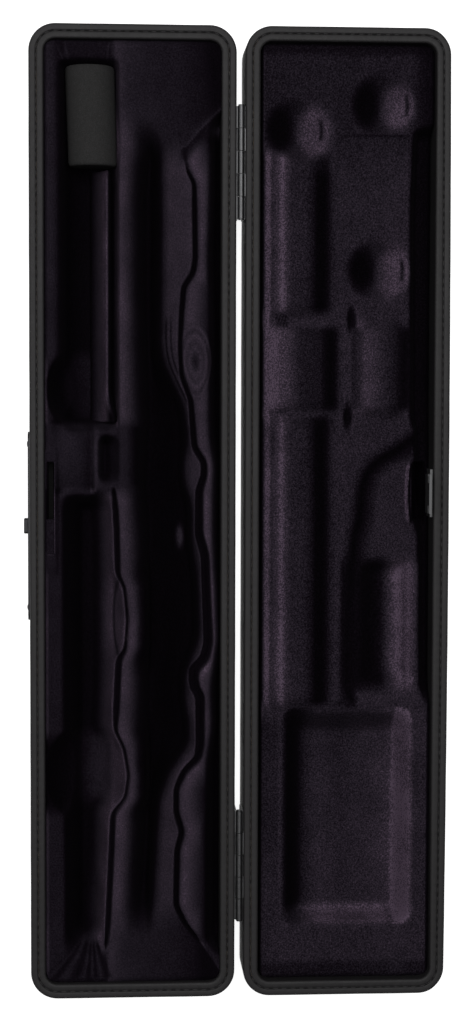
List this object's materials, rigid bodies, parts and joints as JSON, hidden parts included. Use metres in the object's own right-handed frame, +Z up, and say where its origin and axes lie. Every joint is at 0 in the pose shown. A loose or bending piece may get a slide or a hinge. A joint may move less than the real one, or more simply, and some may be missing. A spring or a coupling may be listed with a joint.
{
  "type": "flute case",
  "caption": "Slim hinged case for a dismantled flute: leatherette-covered halves with padded velvet trays, foam spacer, two butt hinges and a front slide latch.",
  "frame": {"origin": "middle of the base half's underside", "axes": "+X along the case towards the head joint's end, +Y from the latch across the hinge line to the open lid, +Z up out of both open halves"},
  "size_m": [0.474, 0.2074, 0.0405],
  "materials": {
    "wood": "bare plywood, hidden by the covering",
    "leatherette": "fine-grained black leatherette, satin",
    "foam": "moulded foam core, hidden by the lining",
    "velvet": "black velvet with a faint violet sheen",
    "plug_foam": "matte closed-cell foam",
    "dark_steel": "black-finished steel",
    "gunmetal": "gunmetal plating, semi-gloss",
    "plain_steel": "plain spring steel, slightly dull"
  },
  "bodies": {
    "base": {"base_wall": "wood", "base_board": "wood", "base_bottom_cover": "leatherette", "base_side_cover": "leatherette", "base_liner": "leatherette", "base_core": "foam", "base_lining": "velvet", "latch_escutcheon": "dark_steel", "escutcheon_screws": "dark_steel", "latch_housing": "dark_steel", "spacer_end_hinge_base_leaf": "gunmetal", "head_end_hinge_base_leaf": "gunmetal", "spacer_end_hinge_pin": "gunmetal", "head_end_hinge_pin": "gunmetal", "base_hinge_screws": "gunmetal"},
    "lid": {"lid_wall": "wood", "lid_board": "wood", "lid_top_cover": "leatherette", "lid_side_cover": "leatherette", "lid_liner": "leatherette", "lid_core_spacer_end": "foam", "lid_core_foot": "foam", "lid_core_middle": "foam", "lid_core_head_end": "foam", "lid_pads": "foam", "lid_lining": "velvet", "keeper": "plain_steel", "keeper_screws": "dark_steel", "spacer_end_hinge_lid_leaf": "gunmetal", "head_end_hinge_lid_leaf": "gunmetal", "lid_hinge_screws": "gunmetal"},
    "latch_slide": {"latch_knob": "dark_steel", "latch_bolt": "plain_steel"},
    "spacer": {"spacer_plug": "plug_foam"}
  },
  "joints": [
    {"name": "lid_hinge", "type": "hinge", "parent": "base", "child": "lid", "pos_m": [0, 0.05213, 0.03225], "axis": [1, 0, 0], "range_deg": [0, 180]},
    {"name": "latch_travel", "type": "slide", "parent": "base", "child": "latch_slide", "axis": [-1, 0, 0], "range_m": [0, 0.006]},
    {"name": "spacer_travel", "type": "slide", "parent": "base", "child": "spacer", "axis": [1, 0, 0], "range_m": [0, 0.11]}
  ]
}
